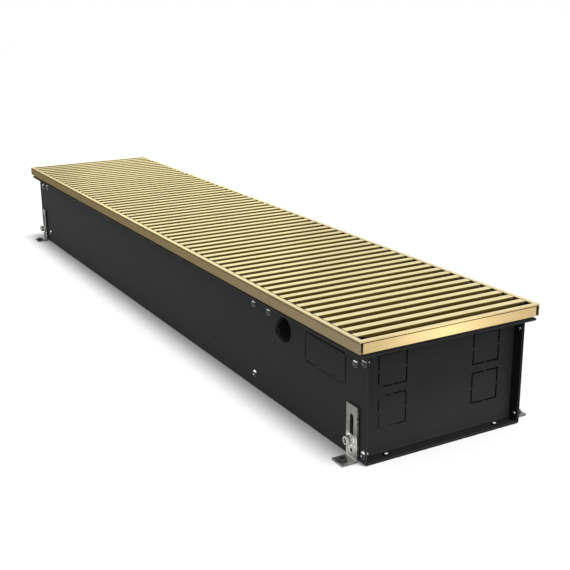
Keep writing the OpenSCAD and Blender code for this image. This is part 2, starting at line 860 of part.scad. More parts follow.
// Aluminium fins joined by their collars round the four tubes
module fin_pack() {
  last_x = fin_x0 + (fin_count - 1) * fin_pitch;
  color("gainsboro") {
    for (i = [0 : fin_count - 1])
      translate([i * fin_pitch, 0, 0]) run_x(fin_x0, fin_x0 + fin_t) difference() {
        plate([coil_y0, coil_z], [coil_y1, coil_z + coil_h]);
        tube_circles(tube_r + solder_gap);
      }
    run_x(fin_x0, last_x + fin_t) difference() {
      tube_circles(tube_r + collar_t);
      tube_circles(tube_r + solder_gap);
    }
  }
}

module tube_run(x1, y, z) {
  translate([0, y, z]) difference() {
    rod_x(tube_far_x, x1, tube_r);
    rod_x(tube_far_x - over, x1 + over, tube_r - tube_wall);
  }
}

module copper_tubes() {
  color("peru")
  for (y = tube_y) {
    tube_run(union_x, y, tube_z[0]);
    tube_run(vent_end_x, y, tube_z[1]);
  }
}

module half_bend(spacing) {
  rotate_extrude(angle = 180) translate([spacing / 2, 0]) difference() {
    circle(r = tube_r);
    circle(r = tube_r - tube_wall);
  }
}

// Two upright bends at the far end and one flat bend at the near end
module return_bends() {
  color("peru") {
    for (y = tube_y)
      translate([tube_far_x, y, (tube_z[0] + tube_z[1]) / 2]) rotate([90, -90, 0])
        half_bend(tube_z[1] - tube_z[0]);
    translate([vent_end_x, (tube_y[0] + tube_y[1]) / 2, tube_z[1]]) rotate([0, 0, -90])
      half_bend(tube_y[1] - tube_y[0]);
  }
}

// Brass unions on the ends of the two lower tubes, with sockets that face the near end
module pipe_unions() {
  color("goldenrod")
  for (y = tube_y)
    translate([0, y, tube_z[0]]) difference() {
      union() {
        rod_x(union_x0, union_x1 - union_hex_l, union_d / 2);
        translate([union_x1 - union_hex_l, 0, 0]) rotate([0, 90, 0])
          cylinder(h = union_hex_l, r = union_flats / 2 / cos(30), $fn = 6);
      }
      rod_x(union_x0 - over, union_x, tube_r + solder_gap);
      rod_x(union_x - over, union_x1, tube_r - 2 * tube_wall);
      rod_x(union_x1 - socket_l, union_x1 + over, socket_r);
    }
}

module air_vent_body() {
  color("goldenrod")
  difference() {
    translate([vent_x, tube_y[1], tube_z[1]]) cylinder(h = tube_r + vent_h, r = vent_r);
    translate([0, tube_y[1], tube_z[1]]) rod_x(vent_x - tube_d, vent_x + tube_d, tube_r);
    translate([vent_x, tube_y[1], vent_z - vent_h + tube_wall])
      cylinder(h = vent_h + over, r = vent_screw_r + run_gap);
  }
}

module air_vent_screw() {
  head_z = vent_z + slide_gap;
  head_r = vent_r - tube_wall;
  color("goldenrod")
  translate([vent_x, tube_y[1], 0]) difference() {
    union() {
      translate([0, 0, vent_z - vent_h + 2 * tube_wall])
        cylinder(h = vent_h - 2 * tube_wall + slide_gap, r = vent_screw_r);
      translate([0, 0, head_z]) cylinder(h = vent_head_h, r = head_r);
    }
    block(
      [-vent_r, -vent_slot_w / 2, head_z + vent_head_h / 2],
      [vent_r, vent_slot_w / 2, head_z + vent_head_h + over]
    );
  }
}

// One curved blade of the rotor, in the plane, on the X side
module blade() {
  middle_r = fan_r - blade_depth / 2;
  intersection() {
    difference() {
      circle(r = fan_r);
      circle(r = fan_r - blade_depth);
    }
    translate([middle_r, 0]) rotate(blade_tilt) intersection() {
      translate([0, blade_curve_r]) difference() {
        circle(r = blade_curve_r + blade_t / 2);
        circle(r = blade_curve_r - blade_t / 2);
      }
      plate([-blade_depth, -blade_depth / 2], [blade_depth, blade_depth / 2]);
    }
  }
}

// Cross-flow rotor: curved blades between support discs, with a hub at each end
module fan_rotor() {
  disc_step = (rotor_l - disc_t) / (disc_count - 1);
  color("silver")
  difference() {
    translate([0, fan_y, fan_z]) union() {
      run_x(rotor_x0, rotor_x1)
        for (i = [0 : blade_count - 1])
          rotate(i * 360 / blade_count) blade();
      for (i = [0 : disc_count - 1])
        rod_x(rotor_x0 + i * disc_step, rotor_x0 + i * disc_step + disc_t, fan_r + disc_over);
      rod_x(rotor_x0 - hub_l, rotor_x0 + disc_t, hub_r);
      rod_x(rotor_x1 - disc_t, rotor_x1 + hub_l, hub_r);
    }
    translate([0, fan_y, fan_z]) {
      rod_x(rotor_x0 - hub_l - over, rotor_x0 + disc_t + over, shaft_r);
      rod_x(rotor_x1 - disc_t - over, rotor_x1 + hub_l + over, shaft_r);
    }
  }
}

// Stub shafts, one into the motor and one into the far bearing
module fan_shafts() {
  color(steel)
  translate([0, fan_y, fan_z]) {
    rod_x(bulk_far - bearing_l, rotor_x0 + disc_t, shaft_r);
    rod_x(rotor_x1 - disc_t, motor_x + motor_l / 2, shaft_r);
  }
}

// Guide sheet behind and under the rotor, with a flange on the front wall and a foot on the floor
module fan_scroll() {
  outer_r = scroll_r + guide_t;
  floor_z = fan_z - outer_r;
  foot_y = coil_y0 - guide_t;
  shelf_y = fan_y + scroll_r * cos(scroll_start);
  shelf_z = fan_z + scroll_r * sin(scroll_start);
  color("silver")
  run_x(guide_x0, bulk_near) {
    translate([fan_y, fan_z]) ring_sector(scroll_r, outer_r, scroll_start, 270);
    plate([fan_y, floor_z], [foot_y, floor_z + guide_t]);
    plate([foot_y - guide_t, sheet_t], [foot_y, floor_z + guide_t]);
    plate([foot_y - scroll_foot, sheet_t], [foot_y, sheet_t + guide_t]);
    plate([-inner_half_w, shelf_z - guide_t], [shelf_y, shelf_z]);
    plate([-inner_half_w, shelf_z - guide_t], [-inner_half_w + guide_t, shelf_z + scroll_foot]);
  }
}

// Tongue sheet that parts the inlet of the fan from its outlet, from bulkhead to bulkhead
module fan_tongue() {
  bend = [fan_y + tongue_r * cos(tongue_high), fan_z + tongue_r * sin(tongue_high)];
  top = [coil_y0 - coil_front_gap / 3, bulk_top];
  slope = top - bend;
  color("silver")
  run_x(guide_x0, bulk_near) {
    translate([fan_y, fan_z]) ring_sector(tongue_r, tongue_r + guide_t, tongue_low, tongue_high);
    translate(bend) rotate(atan2(slope[1], slope[0])) plate([0, -guide_t], [norm(slope), 0]);
    plate([top[0], bulk_top - guide_t], [coil_y0, bulk_top]);
  }
}

module fan_motor() {
  flange_x1 = motor_x + motor_flange_t;
  color("dimgray")
  difference() {
    translate([0, fan_y, fan_z]) union() {
      rod_x(bulk_near, motor_x, motor_spigot_r);
      rod_x(motor_x, flange_x1, motor_r + motor_flange_over);
      rod_x(motor_x, motor_x + motor_l, motor_r - motor_flange_t);
      rod_x(motor_x, motor_x + 2 * motor_l / 3, motor_r);
    }
    translate([0, fan_y, fan_z]) rod_x(bulk_near - over, motor_x + motor_l / 2 + over, shaft_r + run_gap);
    fan_circle(motor_screw_r) rod_x(motor_x - over, flange_x1 + over, screw_d / 2 + screw_gap);
  }
}

module fan_bearing() {
  color("dimgray")
  difference() {
    translate([0, fan_y, fan_z]) union() {
      rod_x(bulk_far - bearing_l, guide_x0, bearing_r);
      rod_x(guide_x0, guide_x0 + bearing_flange_t, bearing_flange_r);
    }
    translate([0, fan_y, fan_z])
      rod_x(bulk_far - bearing_l - over, guide_x0 + bearing_flange_t + over, shaft_r + run_gap);
    fan_circle(bearing_screw_r)
      rod_x(guide_x0 - over, guide_x0 + bearing_flange_t + over, screw_d / 2 + screw_gap);
  }
}

// A machine screw along X whose head starts at zero, with its shank towards -X
module screw_x(grip) {
  rod_x(0, screw_head_h, screw_d);
  rod_x(-grip, 0, screw_d / 2);
}

module fan_screws() {
  motor_grip = motor_flange_t + sheet_t;
  bearing_grip = bearing_flange_t + sheet_t;
  color(steel) {
    fan_circle(motor_screw_r) translate([motor_x + motor_flange_t, 0, 0]) screw_x(motor_grip);
    fan_circle(bearing_screw_r) translate([guide_x0 + bearing_flange_t, 0, 0]) screw_x(bearing_grip);
  }
}

// Plan of the terminal box with rounded corners, grown by a margin
module box_plan(margin) {
  low = [box_x0 - margin, box_y0 - margin];
  high = [box_x1 + margin, box_y1 + margin];
  r = box_edge_r;
  plate(low + [r, 0], high - [r, 0]);
  plate(low + [0, r], high - [0, r]);
  for (x = [low[0] + r, high[0] - r], y = [low[1] + r, high[1] - r])
    translate([x, y]) circle(r = r);
}

module lid_screw_places() {
  inset = lid_screw_inset;
  for (x = [box_x0 + inset, box_x1 - inset], y = [box_y0 + inset, box_y1 - inset])
    translate([x, y, box_z1 + lid_t]) children();
}

// Hollow box with a post under each lid screw
module terminal_box() {
  color("whitesmoke")
  difference() {
    union() {
      translate([0, 0, sheet_t]) linear_extrude(box_h) difference() {
        box_plan(0);
        box_plan(-box_wall);
      }
      translate([0, 0, sheet_t]) linear_extrude(box_wall) box_plan(0);
      lid_screw_places() translate([0, 0, -lid_t - box_h]) cylinder(h = box_h, r = screw_d);
    }
    lid_screw_places()
      translate([0, 0, -lid_t - box_h / 2]) cylinder(h = box_h, r = screw_d / 2 + screw_gap);
    gland_places() rod_x(-over, gland_l, gland_r / 2);
  }
}

module terminal_lid() {
  color("whitesmoke")
  difference() {
    translate([0, 0, box_z1]) linear_extrude(lid_t) box_plan(lid_over);
    lid_screw_places() translate([0, 0, -lid_t - over])
      cylinder(h = lid_t + 2 * over, r = screw_d / 2 + screw_gap);
    lid_screw_places() translate([0, 0, -lid_t / 2]) cylinder(h = lid_t, r = screw_d + screw_gap);
  }
}

module terminal_screws() {
  color(steel)
  lid_screw_places() translate([0, 0, -lid_t / 2]) {
    cylinder(h = screw_head_h, r = screw_d);
    translate([0, 0, -lid_t / 2 - box_h / 3]) cylinder(h = lid_t / 2 + box_h / 3, r = screw_d / 2);
  }
}

module gland_places() {
  for (share = gland_shares)
    translate([box_x0, box_y0 + share * box_w, sheet_t + box_h / 2]) children();
}

// Cable glands on the side of the box that faces the grommet
module terminal_glands() {
  color("whitesmoke")
  gland_places() difference() {
    union() {
      translate([-gland_l / 2, 0, 0]) rotate([0, 90, 0])
        cylinder(h = gland_l / 2, r = gland_r / cos(30), $fn = 6);
      rod_x(-gland_l, -gland_l / 2, gland_r);
    }
    rod_x(-gland_l - over, over, gland_r / 2);
  }
}

// Levelling bracket at the back of the near end: a bent strip with a slot
module bracket() {
  outer_r = bracket_t + sheet_t;
  color("lightgray")
  translate([bracket_x, 0, 0]) difference() {
    run_x(-bracket_w / 2, bracket_w / 2) {
      plate([leg_in_y, outer_r], [leg_out_y, bracket_h]);
      plate([leg_in_y + outer_r, 0], [foot_out_y, bracket_t]);
      translate([leg_in_y + outer_r, outer_r]) ring_sector(sheet_t, outer_r, 180, 270);
    }
    run_y(leg_in_y - over, leg_out_y + over) {
      translate([0, bolt_z]) circle(r = slot_r);
      translate([0, bolt_z + bracket_travel]) circle(r = slot_r);
      plate([-slot_r, bolt_z], [slot_r, bolt_z + bracket_travel]);
      translate([0, leg_hole_z]) circle(r = leg_hole_d / 2);
    }
    translate([0, fixing_y, -over]) cylinder(h = bracket_t + 2 * over, r = bush_neck_r + bush_gap);
  }
}

// Rubber bush in the floor fixing hole of a foot
module foot_bush() {
  color("dimgray")
  translate([bracket_x, fixing_y, 0]) rotate_extrude() union() {
    plate([fixing_r, 0], [bush_neck_r, bracket_t]);
    polygon([
      [fixing_r, bracket_t], [bush_collar_r, bracket_t],
      [bush_collar_r, bracket_t + bush_collar_h - bush_chamfer],
      [bush_collar_r - bush_chamfer, bracket_t + bush_collar_h],
      [fixing_r, bracket_t + bush_collar_h]
    ]);
  }
}

module bracket_front_near() {
  mirror([0, 1, 0]) bracket();
}

module bracket_front_far() {
  mirror([1, 0, 0]) mirror([0, 1, 0]) bracket();
}

module bracket_back_near() {
  bracket();
}

module bracket_back_far() {
  mirror([1, 0, 0]) bracket();
}

module bush_front_near() {
  mirror([0, 1, 0]) foot_bush();
}

module bush_front_far() {
  mirror([1, 0, 0]) mirror([0, 1, 0]) foot_bush();
}

module bush_back_near() {
  foot_bush();
}

module bush_back_far() {
  mirror([1, 0, 0]) foot_bush();
}

// Socket screws that clamp the brackets, from outside into the rivet nuts
module clamp_bolts() {
  head_out_y = head_in_y + bolt_head_h;
  color(steel)
  both_x() both_y() translate([bracket_x, 0, bolt_z]) difference() {
    union() {
      rod_y(inner_half_w - nut_body_l, head_in_y, bolt_r);
      rod_y(head_in_y, head_out_y, bolt_head_d / 2);
    }
    translate([0, head_out_y - socket_depth, 0]) rotate([-90, 0, 0])
      cylinder(h = socket_depth + over, r = socket_flats / 2 / cos(30), $fn = 6);
  }
}

module clamp_washers() {
  color(steel)
  both_x() both_y() translate([bracket_x, 0, bolt_z]) difference() {
    rod_y(washer_in_y, head_in_y, washer_d / 2);
    rod_y(washer_in_y - over, head_in_y + over, bolt_r + nut_gap);
  }
}

// Rivet nuts in the side walls, whose flanges keep the brackets off the paint
module rivet_nuts() {
  color(steel)
  both_x() both_y() translate([bracket_x, 0, bolt_z]) difference() {
    union() {
      rod_y(inner_half_w - nut_body_l, half_w, nut_body_r);
      rod_y(half_w, half_w + nut_flange_t, washer_d / 2);
    }
    rod_y(inner_half_w - nut_body_l - over, half_w + nut_flange_t + over, bolt_r + nut_gap);
  }
}

// Section of a hollow grille bar in X and Z
module bar_profile() {
  half_bar = bar_w / 2;
  difference() {
    union() {
      plate([-half_bar, bar_z], [half_bar, total_h - bar_edge_r]);
      plate([-half_bar + bar_edge_r, bar_z], [half_bar - bar_edge_r, total_h]);
      for (x = [-half_bar + bar_edge_r, half_bar - bar_edge_r])
        translate([x, total_h - bar_edge_r]) circle(r = bar_edge_r);
    }
    plate([-half_bar + bar_wall, bar_z + bar_wall], [half_bar - bar_wall, total_h - bar_wall]);
  }
}

module grille_bars() {
  color(gold_anodised)
  for (i = [0 : bar_count - 1])
    translate([bar_first_x + i * bar_pitch, 0, 0]) difference() {
      run_y(-bar_half_len, bar_half_len) bar_profile();
      for (y = [-spring_y, spring_y])
        translate([0, y, spring_z]) rod_x(-bar_w, bar_w, spring_hole_r);
    }
}

// Sleeves on the springs that keep the bars apart
module grille_spacers() {
  sleeve_l = bar_pitch - bar_w;
  color(rubber)
  for (i = [0 : bar_count - 2], y = [-spring_y, spring_y])
    translate([bar_first_x + i * bar_pitch + bar_w / 2, y, spring_z]) difference() {
      rod_x(0, sleeve_l, spacer_d / 2);
      rod_x(-over, sleeve_l + over, spring_hole_r);
    }
}

// The two closely wound springs that string the bars, as plain tubes of their outer size
module grille_springs() {
  color(steel)
  for (y = [-spring_y, spring_y])
    translate([0, y, spring_z]) difference() {
      rod_x(spring_end_x, -spring_end_x, spring_d / 2);
      rod_x(spring_end_x - over, over - spring_end_x, spring_bore_d / 2);
    }
}

// Screws that close the ends of the springs against the last bars
module spring_screws() {
  color(steel)
  both_x() for (y = [-spring_y, spring_y])
    translate([-spring_end_x, y, spring_z]) {
      rod_x(0, screw_head_h, spring_d);
      rod_x(-spring_screw_l, 0, spring_bore_d / 2 - spring_screw_gap);
    }
}

casing_trough();
end_plate_near();
end_plate_far();
corner_gussets();
frame_front();
frame_back();
frame_near();
frame_far();
rest_strips();
cable_grommet();
wall_rivets();
flange_rivets();
bulkhead_near();
bulkhead_far();
cross_brace();
fin_pack();
copper_tubes();
return_bends();
pipe_unions();
air_vent_body();
air_vent_screw();
fan_rotor();
fan_shafts();
fan_scroll();
fan_tongue();
fan_motor();
fan_bearing();
fan_screws();
terminal_box();
terminal_lid();
terminal_glands();
terminal_screws();
bracket_front_near();
bracket_front_far();
bracket_back_near();
bracket_back_far();
bush_front_near();
bush_front_far();
bush_back_near();
bush_back_far();
clamp_bolts();
clamp_washers();
rivet_nuts();
grille_bars();
grille_spacers();
grille_springs();
spring_screws();
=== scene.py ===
"""A trench convector heater: black casing, light gold frame and roll-up grille, levelling brackets."""

import json
from math import cos, pi, radians, sin

import bmesh
import bpy
from mathutils import Matrix, Vector


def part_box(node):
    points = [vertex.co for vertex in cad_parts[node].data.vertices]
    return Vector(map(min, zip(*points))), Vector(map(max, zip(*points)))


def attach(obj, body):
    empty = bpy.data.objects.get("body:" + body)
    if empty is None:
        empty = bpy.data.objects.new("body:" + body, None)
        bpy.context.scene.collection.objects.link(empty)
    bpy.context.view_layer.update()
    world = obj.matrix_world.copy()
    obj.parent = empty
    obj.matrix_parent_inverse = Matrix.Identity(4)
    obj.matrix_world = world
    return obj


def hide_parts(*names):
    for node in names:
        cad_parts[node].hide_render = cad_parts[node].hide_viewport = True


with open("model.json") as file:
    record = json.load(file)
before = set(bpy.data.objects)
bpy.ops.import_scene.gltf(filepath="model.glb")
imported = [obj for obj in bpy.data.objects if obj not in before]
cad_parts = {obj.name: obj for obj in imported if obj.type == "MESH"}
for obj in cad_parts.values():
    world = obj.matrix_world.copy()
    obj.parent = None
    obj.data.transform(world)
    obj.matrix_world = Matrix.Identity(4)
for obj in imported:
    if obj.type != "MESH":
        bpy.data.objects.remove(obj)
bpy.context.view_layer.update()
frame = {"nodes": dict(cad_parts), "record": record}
scene = bpy.context.scene
scene.view_settings.view_transform = "Standard"
MM = 0.001


# Camera, as fitted to the photograph, with its turns in degrees and its lens and sensor in millimetres

CAMERA_PLACE = Vector((1.2631, -0.5976, 0.4527))
CAMERA_PITCH = 16.90
CAMERA_YAW = -60.42
CAMERA_ROLL = -0.47
SENSOR = 36.0
LENS = 61.75


def make_camera():
    pitch, yaw, roll = (radians(a) for a in (CAMERA_PITCH, CAMERA_YAW, CAMERA_ROLL))
    forward = Vector((cos(pitch) * sin(yaw), cos(pitch) * cos(yaw), -sin(pitch)))
    level_right = forward.cross(Vector((0, 0, 1))).normalized()
    level_up = level_right.cross(forward)
    right = cos(roll) * level_right + sin(roll) * level_up
    up = cos(roll) * level_up - sin(roll) * level_right
    data = bpy.data.cameras.new("camera")
    data.sensor_width = SENSOR
    data.lens = LENS
    camera = bpy.data.objects.new("camera", data)
    turn = Matrix((right, up, -forward)).transposed().to_4x4()
    camera.matrix_world = Matrix.Translation(CAMERA_PLACE) @ turn
    scene.collection.objects.link(camera)
    scene.camera = camera


# Shader helpers

# The values between which most of a noise pattern lies
MIDDLE = (0.3, 0.7)


class Nodes:
    """A node tree, with short ways to add and join nodes."""

    def __init__(self, tree):
        self.tree = tree

    def add(self, kind, **settings):
        node = self.tree.nodes.new(kind)
        for key, value in settings.items():
            setattr(node, key, value)
        return node

    def feed(self, socket, value):
        """Gives an input another node's output, a number, a vector or a colour of three numbers."""
        if isinstance(value, bpy.types.NodeSocket):
            self.tree.links.new(value, socket)
        elif socket.type == "RGBA":
            socket.default_value = (*value, 1)
        else:
            socket.default_value = value

    def fill(self, node, **values):
        """Feeds a node's inputs by their names, with _ for a space."""
        for name, value in values.items():
            self.feed(node.inputs[name.replace("_", " ")], value)

    def math(self, operation, *values):
        node = self.add("ShaderNodeMath", operation=operation)
        for socket, value in zip(node.inputs, values):
            self.feed(socket, value)
        return node.outputs["Value"]

    def scaled(self, source, low, high, between=MIDDLE):
        """A number that runs from low to high while the source runs between two values."""
        remap = self.add("ShaderNodeMapRange")
        start, end = between
        self.fill(remap, Value=source, From_Min=start, From_Max=end, To_Min=low, To_Max=high)
        return remap.outputs["Result"]

    def blend(self, share, low, high):
        """A colour between two, each a colour or another node's output."""
        mix = self.add("ShaderNodeMix", data_type="RGBA")
        self.fill(mix, Factor=share, A=low, B=high)
        return mix.outputs["Result"]


class Shader(Nodes):
    """A material's node tree, with its surface shader and the place on the object."""

    def __init__(self, name):
        self.material = bpy.data.materials.new(name)
        self.material.use_nodes = True
        super().__init__(self.material.node_tree)
        self.main = self.tree.nodes["Principled BSDF"]
        self.output = self.tree.nodes["Material Output"]
        self.place = self.add("ShaderNodeTexCoord").outputs["Object"]

    def surface(self, **values):
        self.fill(self.main, **values)

    def noise(self, scale, detail, stretch=(1, 1, 1), roughness=0.5):
        mapping = self.add("ShaderNodeMapping")
        self.fill(mapping, Vector=self.place, Scale=stretch)
        noise = self.add("ShaderNodeTexNoise")
        vector = mapping.outputs["Vector"]
        self.fill(noise, Vector=vector, Scale=scale, Detail=detail, Roughness=roughness)
        return noise.outputs["Fac"]

    def spangle(self, scale):
        """A patchwork of cells, each with its own value."""
        cells = self.add("ShaderNodeTexVoronoi")
        self.fill(cells, Vector=self.place, Scale=scale)
        grey = self.add("ShaderNodeRGBToBW")
        self.fill(grey, Color=cells.outputs["Color"])
        return grey.outputs["Val"]

    def tint(self, source, colour, spread, between=MIDDLE):
        """A colour that runs from a darker to a lighter neighbour as the source rises."""
        dark = tuple(c * (1 - spread) for c in colour)
        light = tuple(min(1.0, c * (1 + spread)) for c in colour)
        return self.blend(self.scaled(source, 0, 1, between), dark, light)

    def component(self, vector, axis):
        parts = self.add("ShaderNodeSeparateXYZ")
        self.fill(parts, Vector=vector)
        return parts.outputs[axis]

    def along(self, axis):
        """The place along an axis, in metres."""
        return self.component(self.place, axis)

    def facing(self, axis):
        """How far the surface faces up an axis, from -1 to 1."""
        return self.component(self.add("ShaderNodeNewGeometry").outputs["Normal"], axis)

    def facing_either_way(self, axis):
        """How far the surface faces up or down an axis, from 0 to 1."""
        return self.math("ABSOLUTE", self.facing(axis))

    def relief(self, height, depth, edge):
        """Bump of the given depth in metres, over edges softened by the given radius."""
        bevel = self.add("ShaderNodeBevel", samples=4)
        self.fill(bevel, Radius=edge)
        bump = self.add("ShaderNodeBump")
        normal = bevel.outputs["Normal"]
        self.fill(bump, Strength=1.0, Distance=depth, Height=height, Normal=normal)
        self.surface(Normal=bump.outputs["Normal"])


# Colours

PAINT = (0.081, 0.081, 0.082)
# Painted shade on the faces that look into the duct and on low faces that look up
DUCT_SHADE_PAINT = (0.020, 0.020, 0.020)
BAR_TOP = (1.0, 0.90, 0.56)
# Painted shade on the sides and rounded edges of the bars, which lie in each other's shade
BAR_SIDE_SHADE = (0.29, 0.205, 0.05)
RAIL_TOP = (1.0, 0.87, 0.56)
# Painted shade on the faces of the frame: lighter on its ends, and on its long sides a dark painted
# reflection
END_FACE_SHADE = (0.60, 0.45, 0.22)
LONG_FACE_SHADE = (0.125, 0.084, 0.044)
# Painted shade in the groove under the frame's top land
GROOVE_SHADE = (0.10, 0.07, 0.03)
GOLD_EDGE = (0.80, 0.74, 0.55)
# Rivets: a painted dark reflection, and a painted highlight on their upper side
RIVET_DARK_REFLECTION = (0.045, 0.045, 0.045)
RIVET_HIGHLIGHT = (0.95, 0.95, 0.94)
# Painted reflection on the near bracket near its bend
BEND_REFLECTION = (0.85, 0.84, 0.80)


# Shares of a surface, with the ranges of the normal, of the place in metres or of their product that set them

FACES_UP = (0.3, 0.7)
INSIDE_WALLS = (-0.06, -0.02)
LOW_PLACES = (0.02, 0.03)
TOP_FACES = (0.80, 0.99)
FLAT_OF_BAR = (0.96, 0.999)
RAIL_LENGTH = (-0.55, 0.55)
RAIL_FACE_SHARE = 0.20
GROOVE_BELOW_TOP = 2.05 * MM
GROOVE_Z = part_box("frame_front")[1][2] - GROOVE_BELOW_TOP
GROOVE_EDGES = (0.35 * MM, 0.55 * MM)
RIVET_UPPER_SIDE = (0.34, 0.54)
RIVET_LOWER_SIDE = (-0.62, -0.45)
RIVET_LOWER_SHARE = 0.30
UPRIGHT_FACES = (0.5, 0.9)
BEND_HEIGHTS = (24 * MM, 30 * MM)
FOOT_HEIGHTS = (1.9 * MM, 2.4 * MM)


def duct_shade_share(shader):
    """Where shade is painted: full on faces that look into the duct, the insides of the walls and what lies
    low and looks up.
    """
    outwards = shader.math("MULTIPLY", shader.facing("Y"), shader.along("Y"))
    inside = shader.scaled(outwards, 1, 0, between=INSIDE_WALLS)
    upwards = shader.scaled(shader.facing("Z"), 0, 1, between=FACES_UP)
    low = shader.scaled(shader.along("Z"), 1, 0, between=LOW_PLACES)
    return shader.math("MAXIMUM", inside, shader.math("MULTIPLY", upwards, low))


def top_share(shader):
    """Full on tops, none on sides and on most of the rounded edges between, which take the painted shade."""
    return shader.scaled(shader.facing_either_way("Z"), 0, 1, between=TOP_FACES)


def flat_share(shader):
    """Full on the flat of a bar only; its sides and rounded edges take the painted shade."""
    return shader.scaled(shader.facing_either_way("Z"), 0, 1, between=FLAT_OF_BAR)


def long_rail_share(shader):
    """Full on the top land, low on the long faces, where the painted shade deepens slowly towards the far
    end.
    """
    low = shader.scaled(shader.along("X"), 0, RAIL_FACE_SHARE, between=RAIL_LENGTH)
    return shader.math("MAXIMUM", top_share(shader), low)


def groove_share(shader):
    """None in the small groove under the top land of the frame, where shade is painted, full elsewhere."""
    off = shader.math("ABSOLUTE", shader.math("SUBTRACT", shader.along("Z"), GROOVE_Z))
    return shader.scaled(off, 0, 1, between=GROOVE_EDGES)


def highlight_share(shader):
    """Full on the upper side of a rivet, where a highlight is painted, low on its lower side, where a weaker
    reflection is painted.
    """
    upper = shader.scaled(shader.facing("Z"), 0, 1, between=RIVET_UPPER_SIDE)
    lower = shader.scaled(shader.facing("Z"), RIVET_LOWER_SHARE, 0, between=RIVET_LOWER_SIDE)
    return shader.math("MAXIMUM", upper, lower)


def bend_reflection_share(shader):
    """Full on the upright faces of a bracket near its bend, where a bright reflection is painted, none on the
    edges of its foot.
    """
    near_bend = shader.scaled(shader.along("Z"), 1, 0, between=BEND_HEIGHTS)
    above_foot = shader.scaled(shader.along("Z"), 0, 1, between=FOOT_HEIGHTS)
    upright = shader.scaled(shader.facing_either_way("Y"), 0, 1, between=UPRIGHT_FACES)
    return shader.math("MULTIPLY", near_bend, shader.math("MULTIPLY", upright, above_foot))


# Materials

# How a noise is stretched along one axis: into drawn lines, and into marks finer than a spring's turns
DRAWN = 0.02
COILED = 60


def black_paint():
    """Matte powder paint, with painted shade on the faces that look into the duct."""
    shader = Shader("black_paint")
    cloud = shader.noise(scale=9, detail=4)
    grain = shader.noise(scale=1900, detail=2)
    outer = shader.tint(cloud, PAINT, spread=0.08)
    shader.surface(
        Base_Color=shader.blend(duct_shade_share(shader), outer, DUCT_SHADE_PAINT),
        Roughness=shader.scaled(cloud, 0.58, 0.66),
        Specular_IOR_Level=0.02,
    )
    shader.relief(grain, depth=0.03 * MM, edge=0.5 * MM)
    return shader.material


def gold(name, along, top, side, share, roughness, grooved=False):
    """Satin anodised aluminium with fine drawn lines along one axis, its top colour blended with painted
    shade on sides, faces and groove.
    """
    shader = Shader(name)
    stretch = [DRAWN if part else 1 for part in along]
    lines = shader.noise(scale=700, detail=3, stretch=stretch, roughness=0.7)
    cloud = shader.noise(scale=14, detail=3)
    # The side colour is painted shade
    colour = shader.blend(share(shader), side, top)
    if grooved:
        colour = shader.blend(groove_share(shader), GROOVE_SHADE, colour)
    shade = shader.math("ADD", lines, shader.scaled(cloud, -0.1, 0.1))
    streaks = shader.add("ShaderNodeMix", data_type="RGBA", blend_type="MULTIPLY")
    shader.fill(streaks, Factor=1.0, A=colour, B=shader.scaled(shade, 0.90, 1.06))
    across = shader.add("ShaderNodeCombineXYZ")
    shader.fill(across, **{axis: 1 - part for axis, part in zip("XYZ", along)})
    shader.surface(
        Base_Color=streaks.outputs["Result"],
        Roughness=shader.scaled(lines, roughness - 0.04, roughness + 0.06),
        Metallic=1.0,
        Anisotropic=0.95,
        Specular_Tint=GOLD_EDGE,
        Tangent=across.outputs["Vector"],
    )
    shader.relief(lines, depth=0.004 * MM, edge=0.25 * MM)
    return shader.material


def rivet_steel():
    """Polished steel painted dark for a reflection of dark surroundings, with a painted highlight on its
    upper side and a weaker painted reflection on its lower.
    """
    shader = Shader("rivet_metal")
    marks = shader.noise(scale=500, detail=3)
    shader.surface(
        Base_Color=shader.blend(highlight_share(shader), RIVET_DARK_REFLECTION, RIVET_HIGHLIGHT),
        Roughness=shader.scaled(marks, 0.16, 0.24),
        Metallic=1.0,
    )
    return shader.material


def rubber(name, colour, roughness):
    """Matt moulded rubber with a fine grain."""
    shader = Shader(name)
    cloud = shader.noise(scale=160, detail=4)
    shader.surface(
        Base_Color=shader.tint(cloud, colour, spread=0.25),
        Roughness=shader.scaled(cloud, roughness - 0.06, roughness + 0.06),
        Specular_IOR_Level=0.05,
    )
    shader.relief(shader.noise(scale=2600, detail=2), depth=0.02 * MM, edge=0.2 * MM)
    return shader.material


def zinc(name, colour, roughness, spangle_scale, bend=None):
    """Galvanised sheet with its patchwork of crystals, and a painted reflection near its bend, if one is
    given.
    """
    shader = Shader(name)
    crystals = shader.spangle(spangle_scale)
    cloud = shader.noise(scale=60, detail=4)
    patch = shader.math("MULTIPLY", crystals, cloud)
    patch = shader.math("ADD", patch, shader.scaled(cloud, 0, 0.25))
    tone = shader.tint(patch, colour, spread=0.22, between=(0.1, 0.7))
    if bend:
        tone = shader.blend(bend_reflection_share(shader), tone, bend)
    shader.surface(
        Base_Color=tone,
        Roughness=shader.scaled(crystals, roughness - 0.07, roughness + 0.09),
        Metallic=0.65,
    )
    shader.relief(shader.noise(scale=900, detail=3), depth=0.008 * MM, edge=0.3 * MM)
    return shader.material


def metal(name, colour, roughness, stretch=(1, 1, 1), spread=0.08, edge=0.2 * MM):
    """Plain metal with fine machining or drawing marks."""
    shader = Shader(name)
    marks = shader.noise(scale=500, detail=3, stretch=stretch)
    stain = shader.noise(scale=45, detail=4)
    wear = shader.math("MULTIPLY", marks, stain)
    shader.surface(
        Base_Color=shader.tint(stain, colour, spread),
        Roughness=shader.scaled(wear, roughness - 0.05, roughness + 0.08, between=(0.1, 0.45)),
        Metallic=1.0,
    )
    shader.relief(marks, depth=0.006 * MM, edge=edge)
    return shader.material


